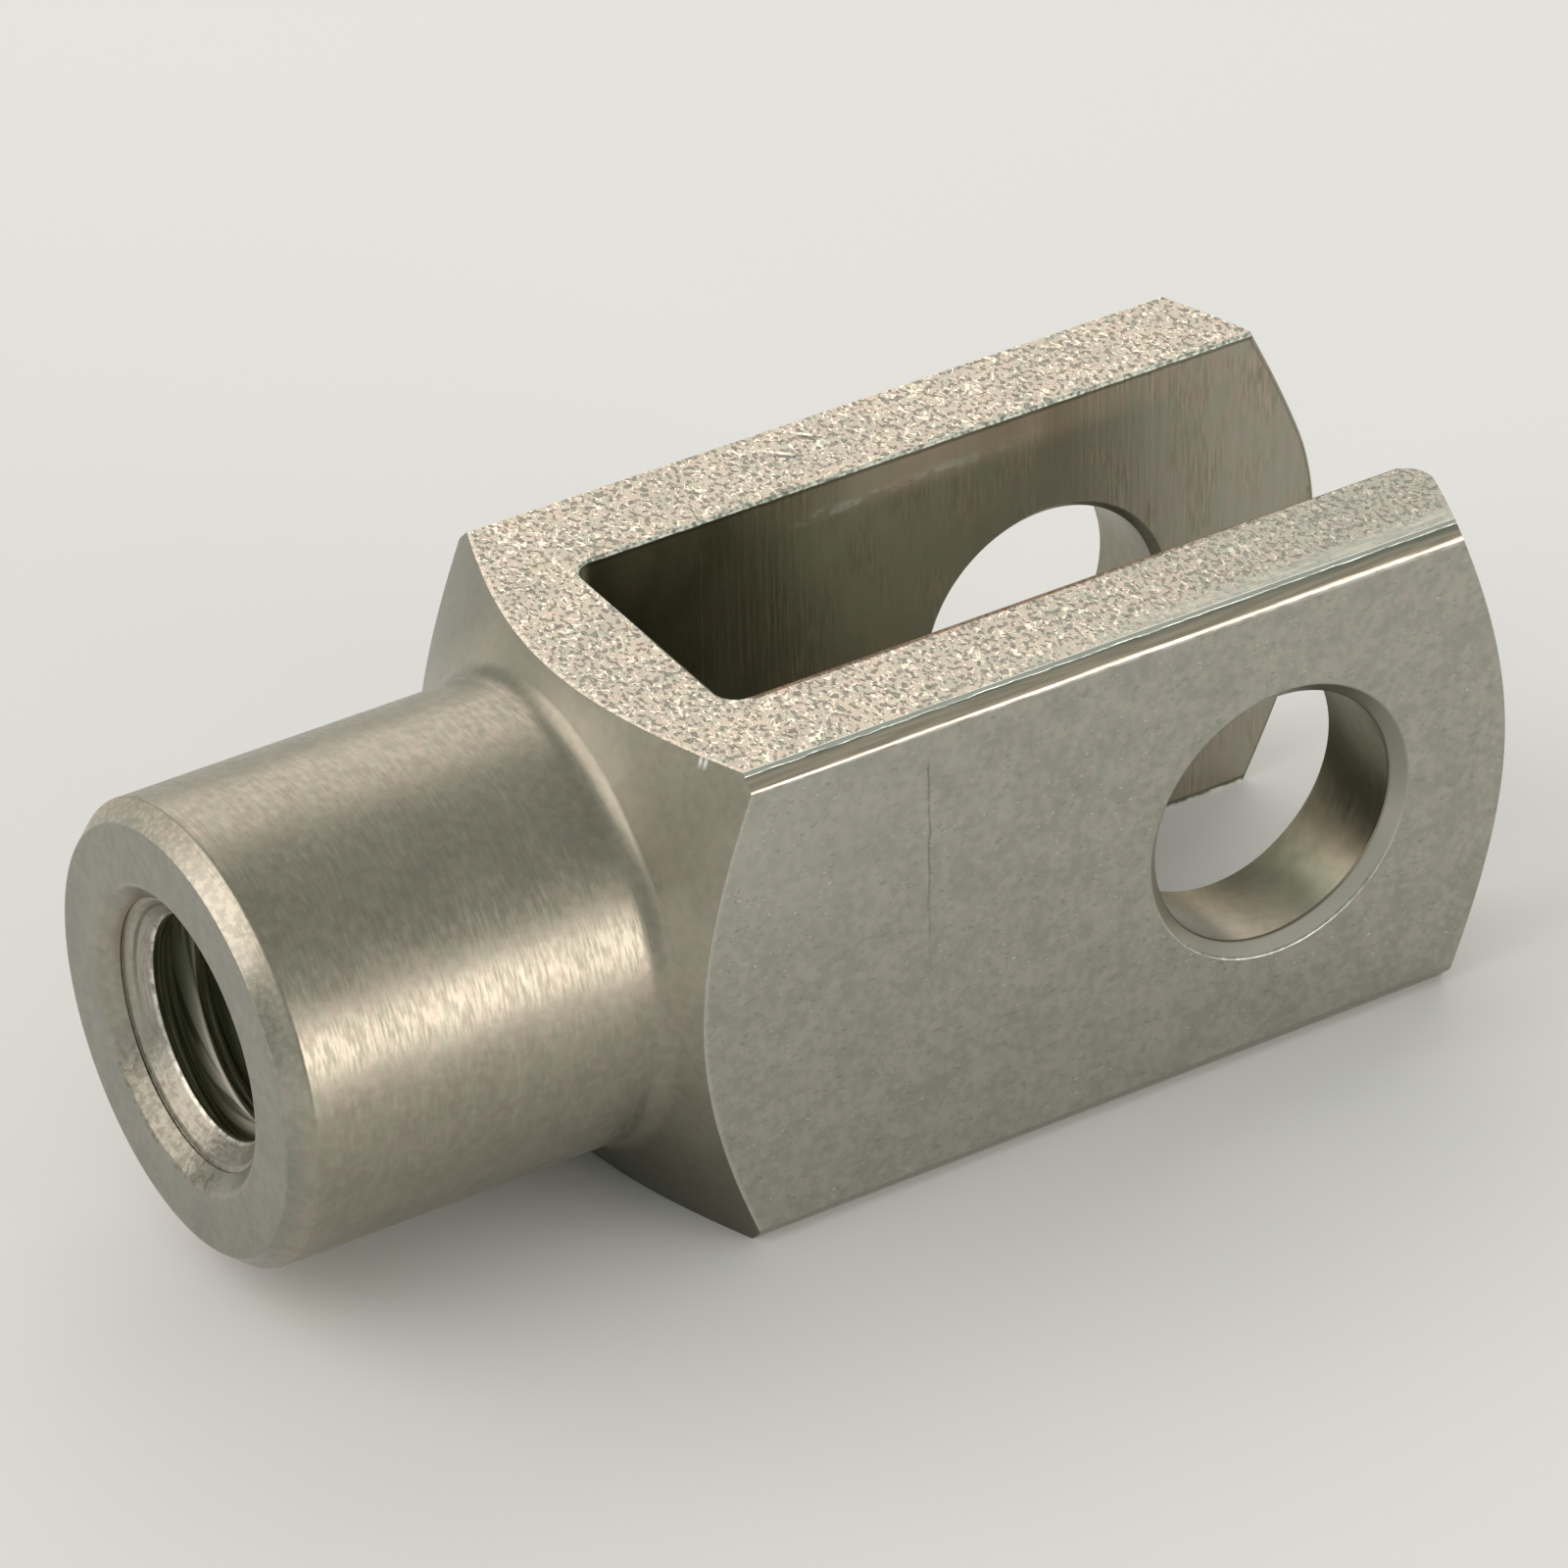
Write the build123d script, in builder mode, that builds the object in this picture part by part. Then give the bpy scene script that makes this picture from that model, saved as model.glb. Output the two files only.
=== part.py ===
import os
from math import radians, sqrt, tan

from build123d import *

# Fork head for the end of a threaded tension rod, machined in one piece from square bar.
# Frame: origin on the pin axis at the middle of the fork, +X out of the open end of the
# fork, the neck and the rod thread towards -X, the pin axis along Y, +Z up.

# Square bar with lightly bevelled long edges
bar_width = 16.0
bar_edge_bevel = 0.45

# Distances along the rod axis, all from the pin axis
neck_end_from_pin = 32.2
slot_floor_from_pin = 16.4
fork_end_from_pin = 10.0

# Turned neck, its end chamfer and the hollow radius at its root
neck_dia = 14.0
neck_end_chamfer_length = 0.68
neck_end_chamfer_height = 0.55
neck_root_radius = 0.8

# Cones turned on both ends of the square. The angle is measured from a plane across
# the bar, the distances from the pin axis to where the cones meet the bar's faces.
turned_cone_angle = 30.0
shoulder_from_pin = 19.65
fork_cone_from_pin = 8.0
fork_end_blend_radius = 6.0

# Slot between the two ears. The front ear's inner edge is rounded where it runs out into
# the fork end, the back ear's is only broken.
slot_width = 8.6
slot_floor_corner_radius = 0.7
front_mouth_radius = 0.9
back_mouth_radius = 0.15

# Pin bore through both ears, bevelled outside and inside
pin_bore_dia = 8.2
pin_bore_outer_bevel = 0.42
pin_bore_inner_bevel = 0.25

# Tapping hole for the rod, from the countersunk neck end to the slot floor
tapping_hole_dia = 6.8
countersink_dia = 9.2
countersink_angle = 90.0
tapping_hole_inner_bevel = 0.4

# Room that a cutting tool runs past the material
overrun = 1.0

half_bar = bar_width / 2
half_slot = slot_width / 2
neck_radius = neck_dia / 2
bar_length = neck_end_from_pin + fork_end_from_pin
rod_hole_length = neck_end_from_pin - slot_floor_from_pin
turning_radius = half_bar * sqrt(2) + overrun
cone_slope = tan(radians(turned_cone_angle))

# Where the turned cones cross the neck, the tool's outermost reach and the flat fork end
neck_root_x = -shoulder_from_pin - (half_bar - neck_radius) * cone_slope
shoulder_reach_x = -shoulder_from_pin + (turning_radius - half_bar) * cone_slope
fork_reach_x = fork_cone_from_pin - (turning_radius - half_bar) * cone_slope
fork_flat_radius = half_bar - (fork_end_from_pin - fork_cone_from_pin) / cone_slope


def rims_at(side_offset, radius):
    """Circular edges of a hole along Y, on both planes at this distance from the middle."""
    return (
        edges()
        .filter_by(GeomType.CIRCLE)
        .filter_by(lambda e: abs(abs(e.arc_center.Y) - side_offset) < 1e-4 and abs(e.radius - radius) < 1e-4)
    )


with BuildPart() as clevis:
    # Bar stock
    with BuildSketch(Plane.YZ.offset(-neck_end_from_pin)):
        Rectangle(bar_width, bar_width)
        chamfer(vertices(), bar_edge_bevel)
    extrude(amount=bar_length)

    # Turning: neck, shoulder cone, fork cone and the blend into the flat fork end
    with BuildSketch(Plane.XZ) as turned:
        with BuildLine():
            Polyline(
                (-neck_end_from_pin, 0),
                (-neck_end_from_pin, neck_radius - neck_end_chamfer_height),
                (-neck_end_from_pin + neck_end_chamfer_length, neck_radius),
                (neck_root_x, neck_radius),
                (shoulder_reach_x, turning_radius),
                (fork_reach_x, turning_radius),
                (fork_end_from_pin, fork_flat_radius),
                (fork_end_from_pin, 0),
                close=True,
            )
        make_face()
        fillet(vertices().sort_by_distance((neck_root_x, neck_radius))[0], neck_root_radius)
        fillet(vertices().sort_by_distance((fork_end_from_pin, fork_flat_radius))[0], fork_end_blend_radius)
    revolve(axis=Axis.X, mode=Mode.INTERSECT)

    # Slot, milled through from the top face to the bottom face
    with BuildSketch(Plane.XY):
        with Locations((-slot_floor_from_pin, 0)):
            Rectangle(bar_length, slot_width, align=(Align.MIN, Align.CENTER))
        fillet(vertices().group_by(Axis.X)[0], slot_floor_corner_radius)
    extrude(amount=half_bar + overrun, both=True, mode=Mode.SUBTRACT)

    # Edges at the slot's mouth, where the ears' inner faces run into the fork end
    for side, mouth_radius in ((-1, front_mouth_radius), (1, back_mouth_radius)):
        inner_face = faces().filter_by(Axis.Y).sort_by(lambda f: abs(f.center().Y - side * half_slot))[0]
        fillet(inner_face.edges().filter_by(lambda e: e.bounding_box().min.X > 0), mouth_radius)

    # Pin bore
    with BuildSketch(Plane.XZ):
        Circle(pin_bore_dia / 2)
    extrude(amount=half_bar + overrun, both=True, mode=Mode.SUBTRACT)
    chamfer(rims_at(half_bar, pin_bore_dia / 2), pin_bore_outer_bevel)
    chamfer(rims_at(half_slot, pin_bore_dia / 2), pin_bore_inner_bevel)

    # Tapping hole with its countersink, opening into the slot floor
    with Locations(Plane(origin=(-neck_end_from_pin, 0, 0), z_dir=(-1, 0, 0))):
        CounterSinkHole(
            radius=tapping_hole_dia / 2,
            counter_sink_radius=countersink_dia / 2,
            depth=rod_hole_length + overrun,
            counter_sink_angle=countersink_angle,
        )
    floor_rim = edges().filter_by(GeomType.CIRCLE).filter_by_position(
        Axis.X, -slot_floor_from_pin - 1e-4, -slot_floor_from_pin + 1e-4
    )
    chamfer(floor_rim, tapping_hole_inner_bevel)

clevis.part.label = "clevis"

os.makedirs("parts", exist_ok=True)
export_step(clevis.part, "parts/clevis.step")
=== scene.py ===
from math import asin, ceil, cos, pi, radians, sin, sqrt, tan

import bmesh
import bpy
from mathutils import Matrix, Vector


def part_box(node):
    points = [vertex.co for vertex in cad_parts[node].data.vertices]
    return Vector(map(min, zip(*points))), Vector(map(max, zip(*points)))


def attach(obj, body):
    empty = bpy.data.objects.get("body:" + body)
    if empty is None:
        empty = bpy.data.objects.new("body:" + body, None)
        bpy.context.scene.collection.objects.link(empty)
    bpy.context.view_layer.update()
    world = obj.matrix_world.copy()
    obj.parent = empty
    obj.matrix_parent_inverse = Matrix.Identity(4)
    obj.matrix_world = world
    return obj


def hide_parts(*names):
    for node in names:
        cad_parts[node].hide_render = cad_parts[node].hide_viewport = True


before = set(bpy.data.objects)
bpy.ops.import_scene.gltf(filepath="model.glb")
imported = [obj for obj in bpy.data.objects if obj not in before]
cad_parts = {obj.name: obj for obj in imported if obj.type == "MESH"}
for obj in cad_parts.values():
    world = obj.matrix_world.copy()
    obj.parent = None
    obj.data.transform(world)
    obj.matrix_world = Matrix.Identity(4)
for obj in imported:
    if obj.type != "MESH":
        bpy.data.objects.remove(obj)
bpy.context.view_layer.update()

# The view. The clevis is seen from above its neck end through a long lens, as a small
# part on a table top is photographed. Its lengths are in millimetres, those of the table
# and the lights in metres.
mm = 0.001
view_azimuth = radians(-31.495)
view_elevation = radians(33.586)
view_roll = -0.018
view_place = Vector((-126.498, -186.944, 146.866)) * mm
sensor_width = 36.0
picture_width = 1600
lens_in_pixels = 9268

lens = bpy.data.cameras.new("camera")
lens.sensor_width = sensor_width
lens.lens = sensor_width * lens_in_pixels / picture_width
lens.clip_start = 10 * mm
camera = bpy.data.objects.new("camera", lens)
camera.matrix_world = (
    Matrix.Translation(view_place)
    @ Matrix.Rotation(view_azimuth, 4, "Z")
    @ Matrix.Rotation(pi / 2 - view_elevation, 4, "X")
    @ Matrix.Rotation(view_roll, 4, "Z")
)
bpy.context.scene.collection.objects.link(camera)
bpy.context.scene.camera = camera
bpy.context.scene.view_settings.view_transform = "Standard"


# Square bar. The clevis is cut from stainless steel bar. Its top and bottom keep the bar's
# coarse blasted skin, and its sides are ground dull and smooth. The bevels of its long
# edges carry fine lines and run rounded into the sides, more so towards the fork end.
low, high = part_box("clevis")
half_bar = (high.y - low.y) / 2 / mm
neck_end = low.x / mm
fork_reach = high.x / mm
long_edge_bevel = 0.45
top_softness = 0.08
side_softness_at_neck = 0.12
side_softness_at_fork = 0.42
shoulder = -19.65
half_slot = 4.3
slot_floor = -16.4
cone_angle = radians(30)
cone_slope = tan(cone_angle)
overrun = 1.0
arc_step = radians(7)
flat_enough = 0.9999


class Wire:
    """An output in a finish's node tree, so that shader maths reads as plain arithmetic."""

    def __init__(self, tree, socket=None):
        self.tree = tree
        self.socket = socket

    def node(self, kind, settings, sockets, output=0):
        """The output of a new node, whose settings are made before its sockets are filled."""
        made = self.tree.nodes.new("ShaderNode" + kind)
        for setting, value in settings.items():
            setattr(made, setting, value)
        for socket, value in sockets.items():
            if isinstance(value, Wire):
                self.tree.links.new(value.socket, made.inputs[socket])
            else:
                made.inputs[socket].default_value = value
        return Wire(self.tree, made.outputs[output])

    def maths(self, operation, *terms):
        return self.node("Math", {"operation": operation}, dict(enumerate(terms)))

    def __add__(self, other):
        return self.maths("ADD", self, other)

    def __sub__(self, other):
        return self.maths("SUBTRACT", self, other)

    def __rsub__(self, other):
        return self.maths("SUBTRACT", other, self)

    def __mul__(self, other):
        return self.maths("MULTIPLY", self, other)

    def __truediv__(self, other):
        return self.maths("DIVIDE", self, other)

    def __pow__(self, other):
        return self.maths("POWER", self, other)

    def __abs__(self):
        return self.maths("ABSOLUTE", self)

    __radd__ = __add__
    __rmul__ = __mul__

    def ramp(self, start, end):
        """Rises smoothly from 0 at start to 1 at end."""
        limits = {"Value": self, "From Min": start, "From Max": end}
        return self.node("MapRange", {"interpolation_type": "SMOOTHSTEP"}, limits)

    def colour(self, low_colour, high_colour):
        """Goes from one colour to the other as this value goes from 0 to 1."""
        # A Mix node takes its two colours at sockets 6 and 7 and gives the mixed one at 2.
        ends = {6: low_colour, 7: high_colour}
        ends = {socket: end if isinstance(end, Wire) else (*end, 1) for socket, end in ends.items()}
        return self.node("Mix", {"data_type": "RGBA"}, {0: self, **ends}, output=2)

    def along(self, axis):
        """One coordinate of this place."""
        return self.node("SeparateXYZ", {}, {"Vector": self}, output=axis)

    def tinted(self, other):
        """This colour times another."""
        return self.node("VectorMath", {"operation": "MULTIPLY"}, {0: self, 1: other})

    def scaled(self, x, y, z):
        """This place with each axis stretched by its own factor."""
        return self.tinted((x, y, z))

    def noise(self, size, detail=2.0, distortion=0.0):
        """Soft random blotches of about this size in mm, around 0.5."""
        look = {"Vector": self, "Scale": 1 / size, "Detail": detail, "Distortion": distortion}
        return self.node("TexNoise", {}, look)


def bare_steel(name):
    """A new steel finish, and the place on the clevis in mm that its marks go by."""
    steel = bpy.data.materials.new(name)
    steel.use_nodes = True
    place = Wire(steel.node_tree).node("TexCoord", {}, {}, output="Object")
    return steel, place.scaled(1 / mm, 1 / mm, 1 / mm)


def dress(steel, colour, roughness, relief):
    """Give a finish its colour, its roughness and its relief in mm."""
    shader = steel.node_tree.nodes["Principled BSDF"]
    shader.inputs["Metallic"].default_value = 1.0
    normal = relief.node("Bump", {}, {"Distance": mm, "Height": relief})
    for socket, wire in (("Base Color", colour), ("Roughness", roughness), ("Normal", normal)):
        steel.node_tree.links.new(wire.socket, shader.inputs[socket])


def stroke(u, v, start, end, width):
    """A straight mark on the plane of u and v: 1 on its line, 0 beyond its width."""
    run = Vector(end) - Vector(start)
    way = run.normalized()
    ahead = (u - start[0]) * way.x + (v - start[1]) * way.y
    aside = (v - start[1]) * way.x - (u - start[0]) * way.y
    past = abs(ahead - run.length / 2) - run.length / 2
    return (1 - abs(aside).ramp(width * 0.2, width * 0.6)) * (1 - past.ramp(-width, width))


def blushed(steel_colour, place, amount):
    """A steel colour that turns a little greener in one place and rosier in the next."""
    blush = place.scaled(1, -1, 1).noise(0.5, 3).ramp(0.35, 0.65)
    green = (1 - amount, 1 + amount * 0.4, 1 - amount * 0.4)
    rosy = (1 + amount, 1 - amount * 0.4, 1)
    return steel_colour.tinted(blush.colour(green, rosy))


def mottled(place, dark, light):
    """Steel in soft uneven shades."""
    shade = (place.noise(1.3, 3) * 0.4 + place.noise(0.3, 3) * 0.6).ramp(0.34, 0.66)
    return blushed(shade.colour(dark, light), place, 0.025)


def from_axis(place, across="Y"):
    """How far a place lies from the rod's axis, or with X across from the pin's, in mm."""
    aside = place.along(across)
    height = place.along("Z")
    return (aside * aside + height * height) ** 0.5


def from_shoulder(place):
    """How far a place lies from the ragged edge that the turned shoulder cuts, in mm."""
    cone = (from_axis(place) - half_bar) * cone_slope
    return place.along("X") - shoulder - cone - place.noise(0.2, 3) * 0.18


grainy_skin, place = bare_steel("grainy_skin")
x, y, z = (place.along(axis) for axis in "XYZ")
upper = z.ramp(0, 1)
# The front ear's top turns darker and greener towards the fork end.
darker_ear_end = (-4.0 - y).ramp(0, 0.6) * x.ramp(-11, 5) * upper
smooth_strip = (0 - y).ramp(6.7, 7.15) * x.ramp(-16, 2) * upper * 0.75
seen_grain = place.scaled(1, 0.7, 1)
worms = 1 - abs(seen_grain.noise(0.25, 1, 0.7) - 0.5).ramp(0.01, 0.065)
pits = place.scaled(1, -0.7, 1).noise(0.16, 1, 0.5).ramp(0.5, 0.66)
patches = place.noise(1.6, 3).ramp(0.3, 0.7)
bright_scratches = stroke(x, y, (-8.52, 6.72), (-7.8, 6.02), 0.16)
bright_scratches = bright_scratches + stroke(x, y, (-7.35, 7.3), (-6.76, 6.61), 0.12)
bright_scratches = (bright_scratches + stroke(x, y, (-6.5, 6.3), (-7.3, 5.82), 0.12) * 0.6) * upper
dark_scratch = stroke(x, y, (-8.5, 6.42), (-7.86, 5.82), 0.14)
dark_scratch = (dark_scratch + stroke(x, y, (-7.2, 6.75), (-6.7, 6.35), 0.22)) * upper
skin_colour = patches.colour((0.385, 0.365, 0.31), (0.5, 0.435, 0.352))
skin_colour = worms.colour(skin_colour, (0.93, 0.84, 0.7))
skin_colour = (pits * 0.9).colour(skin_colour, (0.2, 0.2, 0.17))
skin_colour = (darker_ear_end * 0.55).colour(skin_colour, (0.22, 0.24, 0.21))
lengthwise = place.scaled(0.12, 1, 1).noise(0.13, 2).ramp(0.3, 0.7)
strip_colour = lengthwise.colour((0.26, 0.285, 0.25), (0.43, 0.425, 0.365))
skin_colour = smooth_strip.colour(skin_colour, strip_colour)
# Painted reflection: a dark brown line along the front ear's top by the slot.
slot_edge_reflection = (1 - abs(y + half_slot + 0.15).ramp(0.03, 0.12)) * upper
slot_edge_reflection = slot_edge_reflection * (x - slot_floor).ramp(0.4, 0.9) * (1 - x.ramp(-6, 5))
skin_colour = (slot_edge_reflection * 0.85).colour(skin_colour, (0.12, 0.065, 0.03))
skin_colour = (dark_scratch * 0.7).colour(skin_colour, (0.13, 0.14, 0.11))
skin_colour = (bright_scratches * 0.8).colour(skin_colour, (0.85, 0.88, 0.79))
# Painted highlight: a light line along the top's edge at the shoulder, where a rounded edge would catch
# the light.
shoulder_edge_highlight = 1 - from_shoulder(place).ramp(0.0, 0.07)
skin_colour = (shoulder_edge_highlight * 0.5).colour(skin_colour, (0.8, 0.72, 0.61))
skin_relief = (worms * 0.012 - pits * 0.012) * (1 - smooth_strip) - dark_scratch * 0.03
dress(grainy_skin, blushed(skin_colour, place, 0.03), worms * 0.1 + 0.3, skin_relief)

dull_side, place = bare_steel("dull_side")
x, y, z = (place.along(axis) for axis in "XYZ")
wander = place.scaled(0, 0, 1).noise(1.2, 3) * 0.3
hairline = 1 - abs(x + 12.25 - wander).ramp(0.015, 0.06)
hairline = hairline * z.ramp(-2.0, 3.5) * (1 - z.ramp(6.2, 6.9)) * (1 - y.ramp(-7.9, -7.8))
hairline = hairline * place.noise(0.5).ramp(0.25, 0.5)
flecks = place.scaled(0.6, 1, 1).noise(0.1, 0).ramp(0.74, 0.8) * place.noise(2.4, 1).ramp(0.42, 0.56)
dents = place.scaled(0.5, -1, 1).noise(0.13, 1).ramp(0.64, 0.76)
side_colour = mottled(place, (0.32, 0.322, 0.278), (0.405, 0.393, 0.342))
# Painted light: the side is lighter towards its top near the shoulder.
side_colour = ((1 - x.ramp(-20, -9)) * z.ramp(-1, 6) * 0.3).colour(side_colour, (0.53, 0.52, 0.47))
side_colour = (dents * 0.4).colour(side_colour, (0.2, 0.2, 0.17))
side_colour = (flecks * 0.5).colour(side_colour, (0.7, 0.7, 0.63))
side_colour = (hairline * 0.55).colour(side_colour, (0.15, 0.16, 0.13))
# Painted highlight: a light line along the side's edge at the shoulder.
side_edge_highlight = 1 - from_shoulder(place).ramp(0.0, 0.06)
side_colour = (side_edge_highlight * 0.4).colour(side_colour, (0.55, 0.54, 0.48))
side_relief = place.noise(0.14) * 0.002 - hairline * 0.006
dress(dull_side, side_colour, place.noise(0.9, 3) * 0.12 + 0.36, side_relief)

lined_bevel, place = bare_steel("lined_bevel")
drop = half_bar - abs(place.along("Z"))
lines = place.scaled(0.05, 1, 1).noise(0.1).ramp(0.35, 0.65)
ragged = place.scaled(0.4, 1, 1).noise(0.25, 2)
# Painted reflection: on the upper bevels a dark green-grey band at the top turns brown lower down, and
# the dark band widens towards the fork end.
reflected_dark_width = place.along("X").ramp(-12, 10) * 0.13 + 0.18
bevel_colour = drop.ramp(0.1, reflected_dark_width).colour((0.25, 0.27, 0.23), (0.49, 0.425, 0.34))
bevel_colour = bevel_colour.tinted(lines.colour((0.92, 0.92, 0.92), (1.1, 1.1, 1.1)))
# Painted highlight: the bevel's lower part, where it rounds into the side, is lighter and ragged.
low_rim_highlight = ragged.ramp(0.35, 0.6).colour((0.37, 0.33, 0.27), (0.53, 0.52, 0.47))
bevel_colour = (drop + ragged * 0.08).ramp(0.47, 0.56).colour(bevel_colour, low_rim_highlight)
# A slightly raised rim at the bevel's top, lightened as a painted highlight.
raised_rim_and_highlight = 1 - (drop + ragged * 0.06).ramp(0.1, 0.14)
bevel_colour = (raised_rim_and_highlight * 0.8).colour(bevel_colour, (0.75, 0.77, 0.7))
# The lower bevels keep one plain colour, without the painted light of the upper ones.
bevel_colour = place.along("Z").ramp(-1, 1).colour((0.36, 0.355, 0.305), bevel_colour)
dress(lined_bevel, bevel_colour, lines * 0.08 + 0.24, lines * 0.002 + raised_rim_and_highlight * 0.01)


def rounded(corners, closed=False):
    """Points along an outline whose corners (along, across, radius) are rounded by arcs."""
    points = []
    for i, corner in enumerate(corners):
        here = Vector(corner[:2])
        radius = corner[2] if len(corner) > 2 else 0
        if not radius or not closed and i in (0, len(corners) - 1):
            points.append(here)
            continue
        to_last = (Vector(corners[i - 1][:2]) - here).normalized()
        to_next = (Vector(corners[(i + 1) % len(corners)][:2]) - here).normalized()
        half_angle = to_last.angle(to_next) / 2
        centre = here + (to_last + to_next).normalized() * radius / sin(half_angle)
        tangent = radius / tan(half_angle)
        start = here + to_last * tangent - centre
        turn = start.angle_signed(here + to_next * tangent - centre)
        steps = max(3, ceil(abs(turn) / arc_step))
        for k in range(steps + 1):
            points.append(centre + Matrix.Rotation(-turn * k / steps, 2) @ start)
    return points


def made_of(name, form, *finishes):
    """A piece of the scene from a closed form, with its finishes."""
    bmesh.ops.recalc_face_normals(form, faces=form.faces)
    mesh = bpy.data.meshes.new(name)
    form.to_mesh(mesh)
    form.free()
    for finish in finishes:
        mesh.materials.append(finish)
    piece = bpy.data.objects.new(name, mesh)
    bpy.context.scene.collection.objects.link(piece)
    return piece


def solid(name, rings, *finishes):
    """A closed solid through rings of as many points each, flat at both ends."""
    form = bmesh.new()
    rows = [[form.verts.new(point) for point in ring] for ring in rings]
    count = len(rows[0])
    for row, after in zip(rows, rows[1:]):
        for k in range(count):
            form.faces.new((row[k], row[(k + 1) % count], after[(k + 1) % count], after[k]))
    form.faces.new(rows[0][::-1])
    form.faces.new(rows[-1])
    return made_of(name, form, *finishes)


bar_corner = half_bar - long_edge_bevel


def bar_outline(side_softness):
    """The bar's outline across, with its bevels rounded by this much into the sides."""
    corners = []
    for sy, sz in ((1, 1), (-1, 1), (-1, -1), (1, -1)):
        side_corner = (sy * half_bar, sz * bar_corner, side_softness)
        top_corner = (sy * bar_corner, sz * half_bar, top_softness)
        corners += [side_corner, top_corner] if sy == sz else [top_corner, side_corner]
    return rounded(corners, closed=True)


bar_ends = ((neck_end - overrun, side_softness_at_neck), (fork_reach + overrun, side_softness_at_fork))
bar_rings = [[(x, y, z) for y, z in bar_outline(softness)] for x, softness in bar_ends]
clevis = solid("fork_head", bar_rings, dull_side, grainy_skin, lined_bevel)
for face in clevis.data.polygons:
    if abs(face.normal.z) > flat_enough:
        face.material_index = 1
    elif abs(face.normal.y) < flat_enough:
        face.material_index = 2

# Turned ends. The neck for the rod, the cone of the shoulder and the rounded cone on the
# fork's end are turned on the bar in a lathe, which leaves fine rings round the rod's
# axis. A hollow radius joins the neck to the shoulder.
neck_radius = 7.0
end_chamfer_length = 0.68
end_chamfer_height = 0.55
end_face_softness = 0.12
end_neck_softness = 0.2
root_radius = 0.8
fork_cone = 8.0
fork_end = 10.0
fork_blend = 6.0
fork_flat_radius = half_bar - (fork_end - fork_cone) / cone_slope
blend_centre_x = fork_end - fork_blend
blend_centre_radius = fork_flat_radius - fork_blend * tan(cone_angle / 2)
chamfer_start = neck_radius - end_chamfer_height
core_radius = 0.5
turning_steps = 256
past_bar = half_bar * (sqrt(2) - 1) + overrun


def ringed(place, along="X", across="Y", cone=1.7):
    """A place by tool marks that run round an axis: how far along it, and which way round."""
    radius = from_axis(place, across)
    way = {
        "X": place.along(along) + radius * cone,
        "Y": place.along(across) / radius * neck_radius,
        "Z": place.along("Z") / radius * neck_radius,
    }
    return place.node("CombineXYZ", {}, way)


turned_steel, place = bare_steel("turned_steel")
x, y, z = (place.along(axis) for axis in "XYZ")
radius = from_axis(place)
marks = ringed(place)
fine = marks.scaled(1, 0.13, 0.13).noise(0.06)
short = marks.scaled(1, 0.18, 0.18).noise(0.1)
bands = marks.scaled(1, 0.05, 0.05).noise(0.9, 3)
off_neck = radius - neck_radius
on_neck = off_neck.ramp(-0.5, -0.05)
cylinder = on_neck * (1 - off_neck.ramp(0.02, 0.3)) * (1 - x.ramp(-10, 0))
chamfer = (radius - chamfer_start).ramp(-0.03, 0.02) * (1 - off_neck.ramp(-0.05, 0))
chamfer = chamfer * (1 - (x - neck_end).ramp(0.8, 1.2))
end_colour = mottled(place, (0.278, 0.274, 0.237), (0.332, 0.324, 0.283))
turned_colour = mottled(place, (0.31, 0.288, 0.232), (0.37, 0.343, 0.278))
turned_colour = (on_neck + x.ramp(0, 1)).ramp(0, 1).colour(end_colour, turned_colour)
turned_colour = (short.ramp(0.6, 0.72) * cylinder * 0.15).colour(turned_colour, (0.5, 0.46, 0.39))
# Painted highlight: the chamfer is lighter on its upper part, speckled.
speckle = place.noise(0.2, 3).ramp(0.4, 0.65) * 0.35
turned_colour = (chamfer * z.ramp(0, 5) * (speckle + 0.35)).colour(turned_colour, (0.7, 0.64, 0.53))
# The chamfer is darker again on its upper front part.
chamfer_darker_part = chamfer * (1 - abs(y + 4.7).ramp(0.4, 1.6)) * z.ramp(0, 3.5)
turned_colour = (chamfer_darker_part * 0.2).colour(turned_colour, (0.15, 0.16, 0.12))
neck_half = 1 - x.ramp(-12, -10)
cone_part = off_neck.ramp(0.1, 0.5) * neck_half
# Painted light and shade on the shoulder cone: lighter on top, darker at the bottom and on the far side.
turned_colour = (cone_part * z.ramp(-2, 4) * 0.15).colour(turned_colour, (0.55, 0.52, 0.42))
turned_colour = (cone_part * (1 - z.ramp(-7.5, -1)) * 0.8).colour(turned_colour, (0.12, 0.125, 0.09))
turned_colour = (cone_part * y.ramp(2.5, 6) * 0.45).colour(turned_colour, (0.15, 0.165, 0.13))
# Painted highlight: the hollow at the neck's root is lighter and warmer on its upper part.
hollow = cone_part * (1 - off_neck.ramp(0.6, 1.6)) * z.ramp(2, 4)
turned_colour = (hollow * 0.2).colour(turned_colour, (0.66, 0.59, 0.47))
# Two small burrs on the top's edge at the shoulder, painted as white glints.
burr_glints = stroke(y, z, (-6.2, 8.0), (-6.24, 7.75), 0.13) + stroke(y, z, (-6.37, 8.0), (-6.4, 7.75), 0.13)
turned_colour = (burr_glints * neck_half).colour(turned_colour, (1, 1, 0.95))
streaks = (short.ramp(0.35, 0.7) * 0.13 + fine * 0.13) * (cylinder * 0.75 + 0.25)
turned_roughness = bands * 0.08 + streaks + 0.23 - chamfer * (0.07 - y.ramp(-3.5, 0.5) * 0.3)
turned_relief = (fine * 0.003 + short * 0.003) * (cylinder * 0.7 + 0.3)
dress(turned_steel, turned_colour, turned_roughness, turned_relief)


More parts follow.
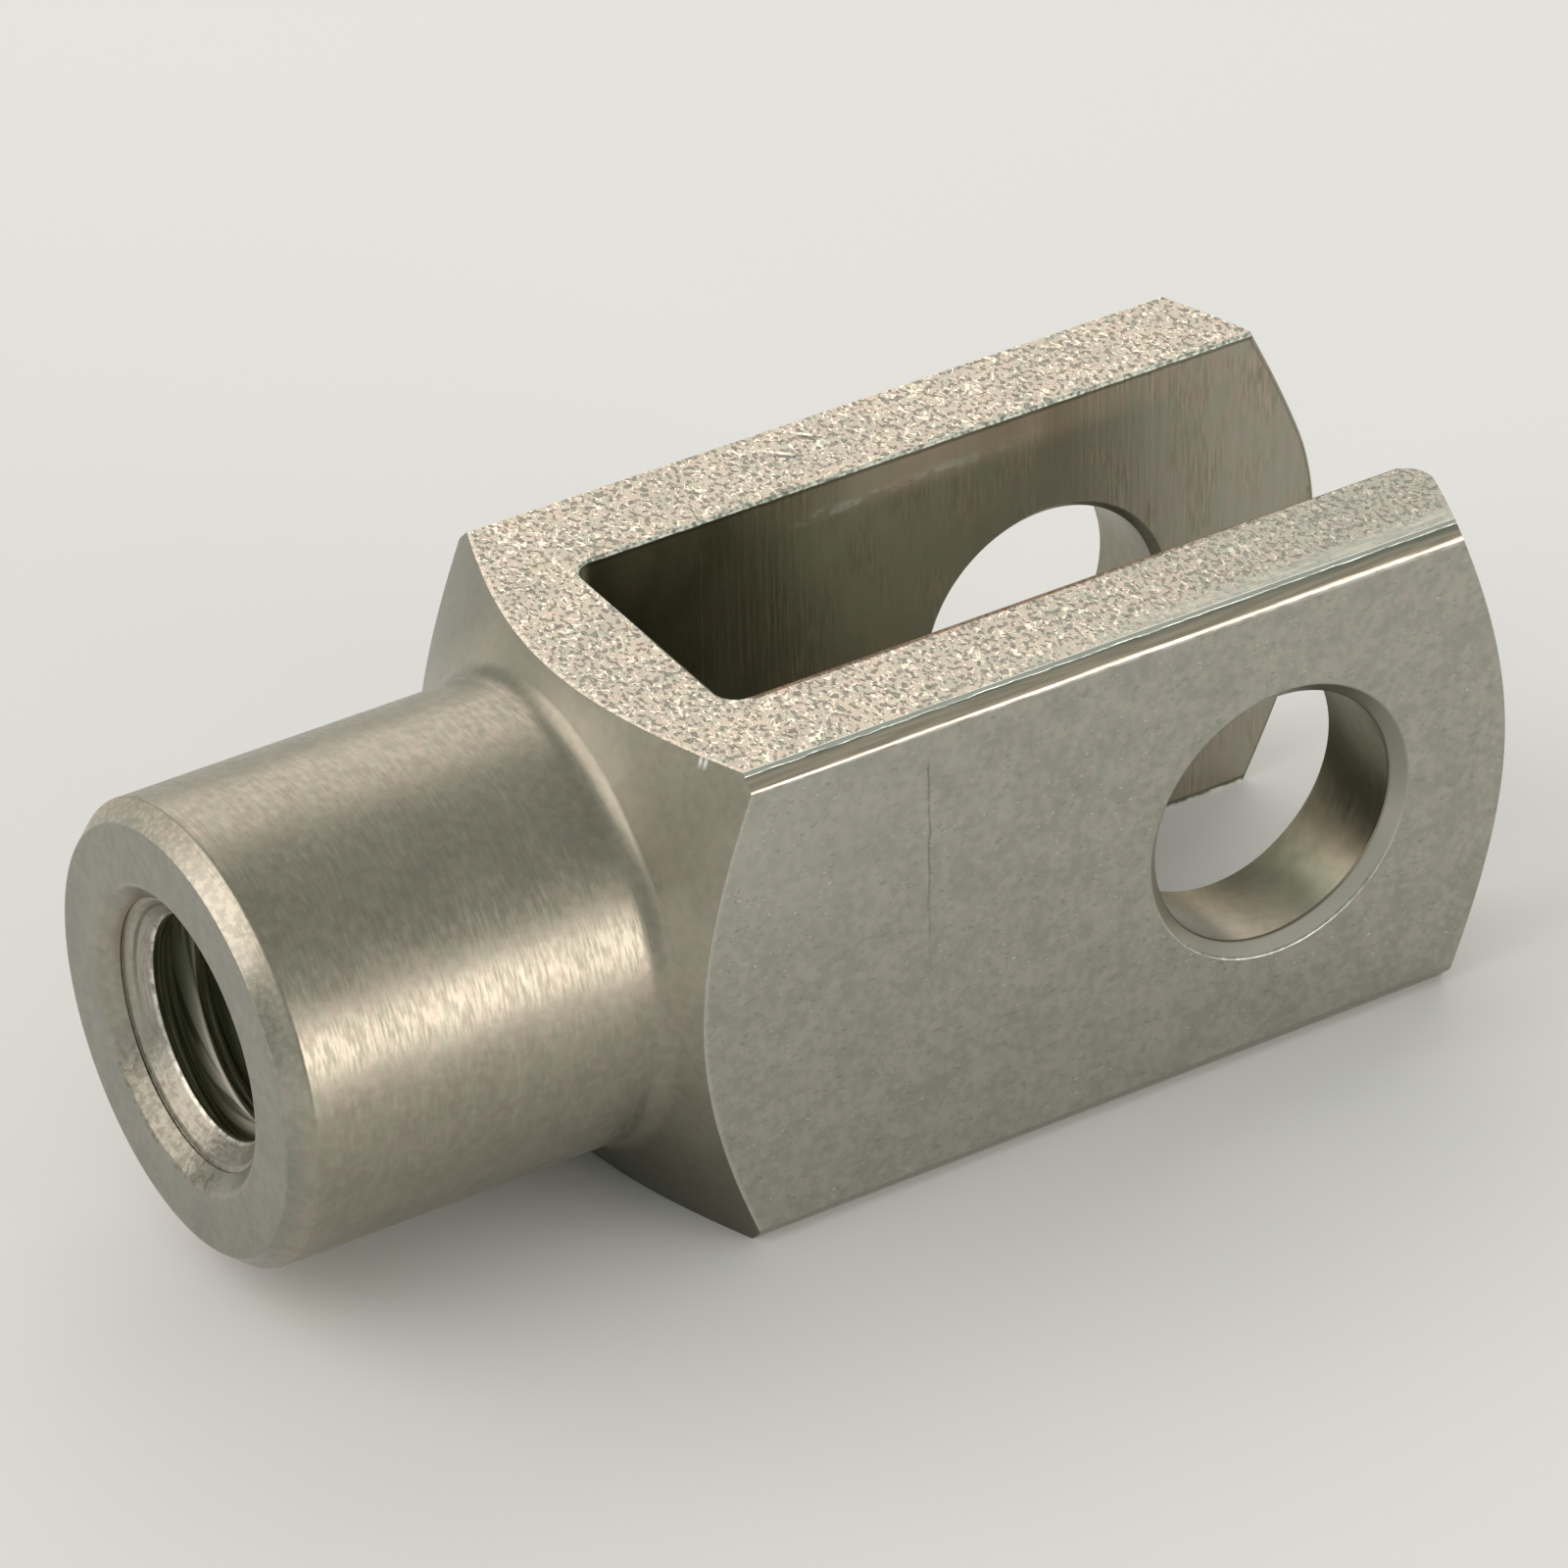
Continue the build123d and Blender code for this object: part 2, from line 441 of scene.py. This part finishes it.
def turned(name, profile, axis, finish):
    """A solid of revolution about X or Y from (along, radius) points."""
    rings = []
    for along, radius in profile:
        ring = []
        for k in range(turning_steps):
            a = 2 * pi * (k + 0.5) / turning_steps
            if axis == "X":
                ring.append((along, radius * cos(a), radius * sin(a)))
            else:
                ring.append((radius * sin(a), along, radius * cos(a)))
        rings.append(ring)
    return solid(name, rings, finish)


turned_profile = rounded(
    [
        (neck_end, neck_radius - overrun),
        (neck_end, chamfer_start, end_face_softness),
        (neck_end + end_chamfer_length, neck_radius, end_neck_softness),
        (shoulder - (half_bar - neck_radius) * cone_slope, neck_radius, root_radius),
        (shoulder + past_bar * cone_slope, half_bar + past_bar),
        (fork_cone - past_bar * cone_slope, half_bar + past_bar),
        (fork_end, fork_flat_radius, fork_blend),
        (fork_end, core_radius),
    ]
)
turning = turned("turning", turned_profile, "X", turned_steel)

# Slot. It is milled through the square from top to bottom, with the cutter's small radius
# in the corners of its floor. The cutter leaves fine lines across the walls, and their
# upper rims carry a thin ragged burr; the back rim's burr is lightened by a painted
# highlight, and the front rim's brown is a painted reflection. The walls are painted
# darker towards the floor, as painted shade.
slot_corner = 0.7
slot_edge_softness = 0.11
softness_steps = 5
steep = radians(80)
above_bar = 0.2

milled_wall, place = bare_steel("milled_wall")
x, y, z = (place.along(axis) for axis in "XYZ")
stains = place.scaled(1, 1, 0.6).noise(1.5, 3).ramp(0.3, 0.7)
cuts = place.scaled(1, 1, 0.05).noise(0.17, 5).ramp(0.3, 0.7)
short_cuts = place.scaled(1, 1, 0.12).noise(0.1, 2).ramp(0.35, 0.65)
# Painted shade: the walls turn darker and greener towards the slot's floor.
depth = x.ramp(-17, 9)
top_band = z.ramp(6.4, 7.2) * x.ramp(-11, -4) * (1 - x.ramp(-1, 7))
streak = 1 - abs(z - x * 0.04 - 7.05 - place.noise(1.2, 4) * 0.2).ramp(0.02, 0.26)
streak = streak * x.ramp(-9.5, -7.5) * (1 - x.ramp(-3.5, 1))
streak = streak * place.scaled(0.5, 1, 1).noise(0.22, 4).ramp(0.42, 0.62)
light_line = stroke(x, z, (-12.0, 7.1), (-12.05, 1.5), 0.07)
dots = stroke(x, z, (7.66, 6.7), (7.64, 6.2), 0.16) + stroke(x, z, (9.45, 1.9), (9.5, 1.7), 0.14)
radius = from_axis(place)
cone_gap = (fork_cone - x - (radius - half_bar) * cone_slope) * cos(cone_angle)
blend_x = x - blend_centre_x
blend_radius = radius - blend_centre_radius
blend_gap = fork_blend - (blend_x * blend_x + blend_radius * blend_radius) ** 0.5
on_cone = (blend_radius - fork_blend * sin(cone_angle)).ramp(-0.03, 0.03)
end_gap = blend_gap + (cone_gap - blend_gap) * on_cone + place.noise(0.6) * 0.05
end_line = 1 - abs(end_gap - 0.2).ramp(0.02, 0.06)
wall_colour = depth.colour((0.205, 0.21, 0.125), (0.34, 0.325, 0.268))
cut_colour = depth.colour((0.28, 0.24, 0.165), (0.46, 0.405, 0.325))
cut_strength = (stains * 0.25 + 0.15) * (x.ramp(-15, -8) * 0.9 + 0.1)
wall_colour = (cuts * cut_strength).colour(wall_colour, cut_colour)
brushed = stains.ramp(0.3, 0.8) * x.ramp(-12, -8) * 0.8 + 0.1
brush_tint = short_cuts.colour((0.82, 0.83, 0.83), (1.19, 1.15, 1.11))
wall_colour = wall_colour.tinted(brushed.colour((1, 1, 1), brush_tint))
wall_colour = (stains * 0.3).colour(wall_colour, (0.25, 0.21, 0.15))
wall_colour = (top_band * 0.75).colour(wall_colour, (0.5, 0.42, 0.32))
wall_colour = (streak * 0.5).colour(wall_colour, (0.6, 0.61, 0.54))
wall_colour = (light_line * 0.3).colour(wall_colour, (0.45, 0.45, 0.4))
wall_colour = ((dots + end_line) * 0.45).colour(wall_colour, (0.1, 0.11, 0.08))
wall_colour = blushed(wall_colour, place, 0.035)
from_top = half_bar - abs(z) + place.noise(0.5, 3) * 0.06
wall_colour = ((1 - from_top.ramp(0.2, 0.28)) * 0.6).colour(wall_colour, (0.07, 0.08, 0.05))
# The back ear's rim is a ragged burr lightened by a painted highlight; the front ear's rim is brown, a
# painted reflection.
rim = 1 - from_top.ramp(0.1, 0.15)
far_burr_and_highlight = place.noise(0.16, 3).ramp(0.35, 0.6).colour((0.3, 0.32, 0.28), (0.82, 0.85, 0.76))
near_rim_reflection = (x - slot_floor).ramp(0.4, 0.9).colour((0.2, 0.19, 0.14), (0.17, 0.115, 0.075))
wall_colour = rim.colour(wall_colour, y.ramp(-1, 1).colour(near_rim_reflection, far_burr_and_highlight))
wall_relief = cuts * cut_strength * 0.012 + place.noise(0.2) * 0.003
dress(milled_wall, wall_colour, stains * 0.1 + rim * 0.3 + 0.32, wall_relief)

# Both rims are softened: the slot widens in small steps near the top and the bottom of the
# bar, and the last steep one runs on past them.
levels = []
for k in range(softness_steps + 1):
    a = steep * k / softness_steps
    levels.append((half_bar - slot_edge_softness * (1 - sin(a)), slot_edge_softness * (1 - cos(a))))
last_height, last_widening = levels[-1]
beyond = half_bar + above_bar
levels.append((beyond, last_widening + (beyond - last_height) * tan(steep)))
slot_rings = []
for height, widening in [(-h, w) for h, w in levels[::-1]] + levels:
    outline = rounded(
        [
            (fork_reach + overrun, half_slot + widening),
            (slot_floor - widening, half_slot + widening, slot_corner + widening),
            (slot_floor - widening, -half_slot - widening, slot_corner + widening),
            (fork_reach + overrun, -half_slot - widening),
        ]
    )
    slot_rings.append([(x, y, height) for x, y in outline])
slot = solid("slot", slot_rings, milled_wall)

# Slot's mouth. Where the ears' inner walls run out into the turned end, the front ear's
# edge is rounded and the back ear's is only broken, both in the steel of the walls.
front_mouth_radius = 0.9
back_mouth_radius = 0.15
mouth_stations = 96
mouth_steps = 16
mouth_half_height = 9.6
mouth_overlap = radians(1.5)
outer_reach = 2.4
corner_reach = 3.6


def mouth_edge(name, side, edge_radius):
    """What a round edge takes off an ear's inner wall where it meets the turned end."""
    # The edge has the form that a ball of its radius leaves, when it rolls inside the steel
    # along the wall and the turned end. Each ring lies at one height, round the ball's centre.
    rings = []
    for k in range(mouth_stations + 1):
        z = mouth_half_height * (2 * k / mouth_stations - 1)
        y = half_slot + edge_radius
        r = sqrt(y * y + z * z)
        lean = asin(min(max((r - blend_centre_radius) / (fork_blend - edge_radius), 0), 1))
        if lean < cone_angle:
            x = blend_centre_x + (fork_blend - edge_radius) * cos(lean)
        else:
            lean = cone_angle
            x = fork_cone - (r - half_bar) * cone_slope - edge_radius / cos(cone_angle)
        centre = Vector((x, side * y, z))
        wall = Vector((0, -side, 0))
        end = Vector((cos(lean), sin(lean) * side * y / r, sin(lean) * z / r))
        square = (end - wall * end.dot(wall)).normalized()
        whole = wall.angle(end)
        step = (whole + 2 * mouth_overlap) / mouth_steps
        turns = [(step * j - mouth_overlap, 1) for j in range(mouth_steps + 1)]
        turns += [(whole + mouth_overlap, outer_reach), (whole / 2, corner_reach)]
        turns.append((-mouth_overlap, outer_reach))
        ring = [centre + edge_radius * reach * (wall * cos(a) + square * sin(a)) for a, reach in turns]
        rings.append(ring)
    return solid(name, rings, milled_wall)


front_mouth = mouth_edge("front_mouth", -1, front_mouth_radius)
back_mouth = mouth_edge("back_mouth", 1, back_mouth_radius)

# Pin bore. It is bored and reamed through both ears, with a wider bevel on the outside
# than on the inside. Fine marks run round its wall.
bore_radius = 4.1
bore_outer_bevel = 0.42
bore_inner_bevel = 0.25
bevel_softness = 0.08
bore_rim_softness = 0.12
collar_height = 0.5
collar_gap = 0.03
bore_collar = 2.4

reamed_wall, place = bare_steel("reamed_wall")
x, y, z = (place.along(axis) for axis in "XYZ")
marks = ringed(place, along="Y", across="X")
ream_lines = marks.scaled(1, 0.04, 0.04).noise(0.09)
bore_colour = mottled(place, (0.285, 0.268, 0.21), (0.335, 0.314, 0.252))
# Painted shade: the wall is darker on the neck's side.
bore_colour = ((1 - x.ramp(-1.6, -0.6)) * 0.6).colour(bore_colour, (0.16, 0.15, 0.12))
# Painted light: in the front ear the wall is lighter on the fork end's side, with a painted highlight
# low down and uneven stains.
bore_highlight = z.ramp(-3.7, -2.7) * (1 - z.ramp(-1.9, -0.3))
lit_right_colour = bore_highlight.colour((0.43, 0.45, 0.34), (0.62, 0.57, 0.44))
bore_stains = place.noise(0.5, 4).ramp(0.2, 0.8).colour((0.88, 0.88, 0.88), (1.14, 1.12, 1.1))
lit_right_colour = lit_right_colour.tinted(bore_stains)
lit_right_part = x.ramp(0.5, 2.6) * (1 - y.ramp(-4, 4))
bore_colour = lit_right_part.colour(bore_colour, lit_right_colour)
from_bevel = abs(y) - half_bar + bore_outer_bevel
# Painted light and shade: the outer bevel is lighter at the bottom and darker on the neck's side.
bevel_colour = z.ramp(-3.5, 0.5).colour((0.56, 0.53, 0.46), (0.36, 0.355, 0.31))
bevel_colour = ((1 - x.ramp(-2, 1)) * 0.3).colour(bevel_colour, (0.3, 0.29, 0.24))
bevel_rim = place.noise(0.4, 3).ramp(0.35, 0.65).colour((0.27, 0.27, 0.24), (0.45, 0.48, 0.45))
rim_part = from_bevel.ramp(0.33, 0.39) * (1 - z.ramp(-3.6, -2)) * (1 - y.ramp(0, 1))
bevel_colour = rim_part.colour(bevel_colour, bevel_rim)
bore_colour = from_bevel.ramp(0, 0.06).colour(bore_colour, bevel_colour)
inner_line = 1 - abs(from_bevel).ramp(0.02, 0.07)
bore_dot = stroke(y, z, (-6.83, -0.85), (-6.78, -0.8), 0.13) * x.ramp(2, 3)
bore_colour = (inner_line * 0.6 + bore_dot * 0.7).colour(bore_colour, (0.14, 0.11, 0.08))
dress(reamed_wall, bore_colour, ream_lines * 0.12 + 0.28, ream_lines * 0.002)

half_profile = [
    (half_bar + collar_height, bore_radius + bore_collar),
    (half_bar + collar_gap, bore_radius + bore_collar),
    (half_bar, bore_radius + bore_outer_bevel, bore_rim_softness),
    (half_bar - bore_outer_bevel, bore_radius, bevel_softness),
    (half_slot + bore_inner_bevel, bore_radius, bevel_softness),
    (half_slot, bore_radius + bore_inner_bevel, bevel_softness),
    (half_slot - collar_gap, bore_radius + bore_collar),
]
bore_profile = rounded(half_profile + [(-corner[0], *corner[1:]) for corner in half_profile[::-1]])
pin_bore = turned("pin_bore", bore_profile, "Y", reamed_wall)

# Rod hole. It is drilled into the neck for the rod's M8 thread and countersunk. The tap's
# first turn has left a thin groove in the countersink, and its edge is nicked.
tapping_radius = 3.4
countersink_radius = 4.6
sink_depth = countersink_radius - tapping_radius
inner_bevel = 0.4
sink_rim_softness = 0.3
hole_softness = 0.05
sink_collar = 1.6
past_floor = 0.05
groove = [(0.52, 4.08, 0.03), (0.60, 4.12, 0.03), (0.66, 3.94, 0.03)]

countersunk_wall, place = bare_steel("countersunk_wall")
x, y, z = (place.along(axis) for axis in "XYZ")
marks = ringed(place, cone=-0.4)
sink_rings = marks.scaled(1, 0.06, 0.06).noise(0.06)
low_left = (1 - z.ramp(-3.4, -0.5)) * y.ramp(-3.5, -1)
rough_patch = place.noise(0.22, 2) * low_left
depth_in = x - neck_end
in_hole = (depth_in - sink_depth).ramp(-0.03, 0.07)
inner_ring = depth_in.ramp(0.66, 0.7) * (1 - in_hole)
nicked = (depth_in - sink_depth).ramp(-0.12, -0.04) * (1 - in_hole) * place.noise(0.3, 2).ramp(0.35, 0.6)
# Painted reflection: a brown band on the countersink's upper part.
reflected_brown_band = depth_in.ramp(0.3, 0.5) * (1 - depth_in.ramp(0.55, 0.7)) * z.ramp(-2, 2)
sink_colour = mottled(place, (0.315, 0.30, 0.25), (0.385, 0.367, 0.31))
sink_colour = (rough_patch.ramp(0.42, 0.62) * 0.6).colour(sink_colour, (0.2, 0.18, 0.14))
sink_colour = (reflected_brown_band * 0.8).colour(sink_colour, (0.25, 0.2, 0.15))
# Painted shadow of a small step: a dark ring line, mostly on the upper part.
shadowed_ring_line = (1 - abs(depth_in - 0.82).ramp(0.02, 0.06)) * z.ramp(-3, 1.5)
sink_colour = (inner_ring * sink_rings.ramp(0.4, 0.65)).colour(sink_colour, (0.42, 0.39, 0.34))
sink_colour = (shadowed_ring_line * 0.7).colour(sink_colour, (0.14, 0.12, 0.09))
sink_colour = nicked.colour(sink_colour, (0.75, 0.73, 0.66))
turn_lines = marks.scaled(1, 0.01, 0.01).noise(0.09).ramp(0.48, 0.56)
first_land = (turn_lines * 0.75).colour((0.3, 0.31, 0.19), (0.06, 0.06, 0.035))
sink_colour = in_hole.colour(sink_colour, first_land)
sink_relief = sink_rings * 0.004 + rough_patch * 0.02
dress(countersunk_wall, sink_colour, sink_rings * 0.12 + in_hole * 0.15 + 0.28, sink_relief)

hole_profile = rounded(
    [
        (neck_end - collar_height, countersink_radius + sink_collar),
        (neck_end - collar_gap, countersink_radius + sink_collar),
        (neck_end, countersink_radius, sink_rim_softness),
        *((neck_end + deep, across, softness) for deep, across, softness in groove),
        (neck_end + sink_depth, tapping_radius, hole_softness),
        (slot_floor - inner_bevel, tapping_radius, hole_softness),
        (slot_floor + past_floor, tapping_radius + inner_bevel + past_floor),
        (slot_floor + past_floor, core_radius),
    ]
)
rod_hole = turned("rod_hole", hole_profile, "X", countersunk_wall)

# Rod thread. M8 turns are tapped through the neck into the slot, where the rod screws in.
# The ridge of the tap is one helix, which fades in behind the countersink.
pitch = 1.25
major_radius = 4.0
hidden_radius = 3.25
crest_reach = 0.46
crest_softness = 0.25
under_wall = 0.03
over_wall = 0.01
thread_steps = 128
thread_turns = 14
half_root = pitch / 16
first_turn = neck_end + 0.8
thread_start = neck_end + 1.25
thread_end = slot_floor + past_floor
fade_in = 0.2
fade_out = 0.1

tapped_wall, place = bare_steel("tapped_wall")
marks = ringed(place, cone=0.3)
tap_lines = marks.scaled(1, 0.01, 0.01).noise(0.11)
shine = (1 - place.along("Z").ramp(-3, 0.5)).colour((0.2, 0.21, 0.155), (0.46, 0.445, 0.385))
thread_colour = from_axis(place).ramp(3.45, 3.85).colour(shine, (0.3, 0.31, 0.2))
thread_colour = (tap_lines.ramp(0.5, 0.58) * 0.8).colour(thread_colour, (0.07, 0.07, 0.04))
dress(tapped_wall, thread_colour, tap_lines * 0.14 + 0.5, tap_lines * 0.003)

rising = rounded(
    [
        (-pitch / 2, tapping_radius - under_wall),
        (-crest_reach, tapping_radius + over_wall, crest_softness),
        (-half_root, major_radius),
    ]
)
ridge = rising + [(-along, radius) for along, radius in rising[::-1]]


def eased(t):
    """0 below 0, 1 above 1 and smooth between."""
    t = min(max(t, 0.0), 1.0)
    return t * t * (3 - 2 * t)


# The ridge stands in columns round the axis, each with all its turns. Every column lies a
# little further on than the one before, and the last joins the first a whole turn along.
form = bmesh.new()
columns = []
for j in range(thread_steps):
    a = 2 * pi * j / thread_steps
    column = []
    for turn in range(thread_turns):
        for along, radius in ridge:
            x = first_turn + pitch * (turn + j / thread_steps) + along
            share = eased((x - thread_start) / fade_in) * eased((thread_end - x) / fade_out)
            r = hidden_radius + (radius - hidden_radius) * share
            column.append(form.verts.new((x, r * cos(a), r * sin(a))))
    columns.append(column)
last = len(ridge) * thread_turns - 1
once_round = len(ridge)
for column, after in zip(columns, columns[1:]):
    for i in range(last):
        form.faces.new((column[i], column[i + 1], after[i + 1], after[i]))
for i in range(last - once_round):
    ahead = i + once_round
    form.faces.new((columns[-1][i], columns[-1][i + 1], columns[0][ahead + 1], columns[0][ahead]))
near_loop = [column[0] for column in columns] + columns[0][once_round:0:-1]
far_loop = [columns[0][last]] + [column[last] for column in columns[1:]]
far_loop += columns[-1][last - 1:last - 1 - once_round:-1]
last_turn = first_turn + thread_turns * pitch
for loop, x in ((near_loop, first_turn - overrun), (far_loop, last_turn + overrun)):
    tip = form.verts.new((x, 0, 0))
    for here, after in zip(loop, loop[1:] + loop[:1]):
        form.faces.new((here, after, tip))
tap = made_of("tap", form, tapped_wall)

# Cutting. The bar is turned, slotted, bored, drilled and tapped, one cut after the other,
# and each cut keeps its own finish. What is left is the clevis, one piece of steel.
sorting_way = Vector((1, 0.7, 0.3))
weld_distance = 0.002
shortest_edge = 0.0005
crease = radians(30)

cutters = (turning, slot, front_mouth, back_mouth, pin_bore, rod_hole, tap)
for cutter in cutters:
    cut = clevis.modifiers.new(cutter.name, "BOOLEAN")
    cut.solver = "EXACT"
    cut.operation = "INTERSECT" if cutter == turning else "DIFFERENCE"
    cut.object = cutter
    cut.material_mode = "TRANSFER"
bpy.context.view_layer.update()
shape = bpy.data.meshes.new_from_object(clevis.evaluated_get(bpy.context.evaluated_depsgraph_get()))
clevis.modifiers.clear()
clevis.data = shape
for cutter in cutters:
    bpy.data.objects.remove(cutter)

# The cuts hand over their points in no fixed order. They are sorted before the nearest ones
# are welded, so that the mesh comes out the same each time.
form = bmesh.new()
form.from_mesh(shape)
form.verts.sort(key=lambda point: point.co.dot(sorting_way))
bmesh.ops.remove_doubles(form, verts=form.verts, dist=weld_distance)
bmesh.ops.dissolve_degenerate(form, edges=form.edges, dist=shortest_edge)
bmesh.ops.scale(form, vec=(mm, mm, mm), verts=form.verts)
form.to_mesh(shape)
form.free()
shape.shade_smooth()
shape.set_sharp_from_angle(angle=crease)
weighted = clevis.modifiers.new("weighted_normals", "WEIGHTED_NORMAL")
weighted.keep_sharp = True
weighted.weight = 100

# Faces of many corners are split here, in a way that leaves no two triangles on each other.
triangles = clevis.modifiers.new("triangles", "TRIANGULATE")
triangles.min_vertices = 5
triangles.ngon_method = "BEAUTY"
triangles.keep_custom_normals = True

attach(clevis, "root")
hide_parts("clevis")

# Table top. The clevis lies loose on a sheet of pale matt card, which reaches so far out
# that no edge of it is seen.
half_table = 1.5
table_mesh = bpy.data.meshes.new("table_top")
table_corners = [
    (sx * half_table, sy * half_table, low.z) for sx, sy in ((-1, -1), (1, -1), (1, 1), (-1, 1))
]
table_mesh.from_pydata(table_corners, [], [(0, 1, 2, 3)])
table_top = bpy.data.objects.new("table_top", table_mesh)
bpy.context.scene.collection.objects.link(table_top)
pale_card = bpy.data.materials.new("pale_card")
pale_card.use_nodes = True
card_shader = pale_card.node_tree.nodes["Principled BSDF"]
card_shader.inputs["Base Color"].default_value = (0.92, 0.92, 0.92, 1)
card_shader.inputs["Roughness"].default_value = 0.9
table_mesh.materials.append(pale_card)

# Studio light. A dim room and three softboxes: one behind that lights the top faces, one
# low on the right for the line along the neck, and one on the left for the shoulder.
room_light = (0.95, 1.0, 0.93)
room_strength = 0.46
warm_white = (1.0, 0.91, 0.87)

studio = bpy.data.worlds.new("studio")
studio.use_nodes = True
studio.node_tree.nodes["Background"].inputs["Color"].default_value = (*room_light, 1)
studio.node_tree.nodes["Background"].inputs["Strength"].default_value = room_strength
bpy.context.scene.world = studio


def softbox(name, toward, distance, width, height, brightness):
    """A softbox that faces the clevis from this direction; brightness 1 shows as white."""
    light = bpy.data.lights.new(name, "AREA")
    light.shape = "RECTANGLE"
    light.size = width
    light.size_y = height
    light.energy = brightness * pi * width * height
    light.color = warm_white
    lamp = bpy.data.objects.new(name, light)
    place = Vector(toward).normalized() * distance
    lamp.matrix_world = Matrix.Translation(place) @ place.to_track_quat("Z", "Y").to_matrix().to_4x4()
    bpy.context.scene.collection.objects.link(lamp)


softbox("softbox_behind", (0.47, 0.694, 0.545), 0.6, 0.7, 0.45, 1.24)
softbox("softbox_right", (0.47, -0.88, 0.15), 0.5, 0.4, 0.2, 4.3)
softbox("softbox_left", (-0.72, 0.24, 0.57), 0.5, 0.6, 0.45, 1.25)
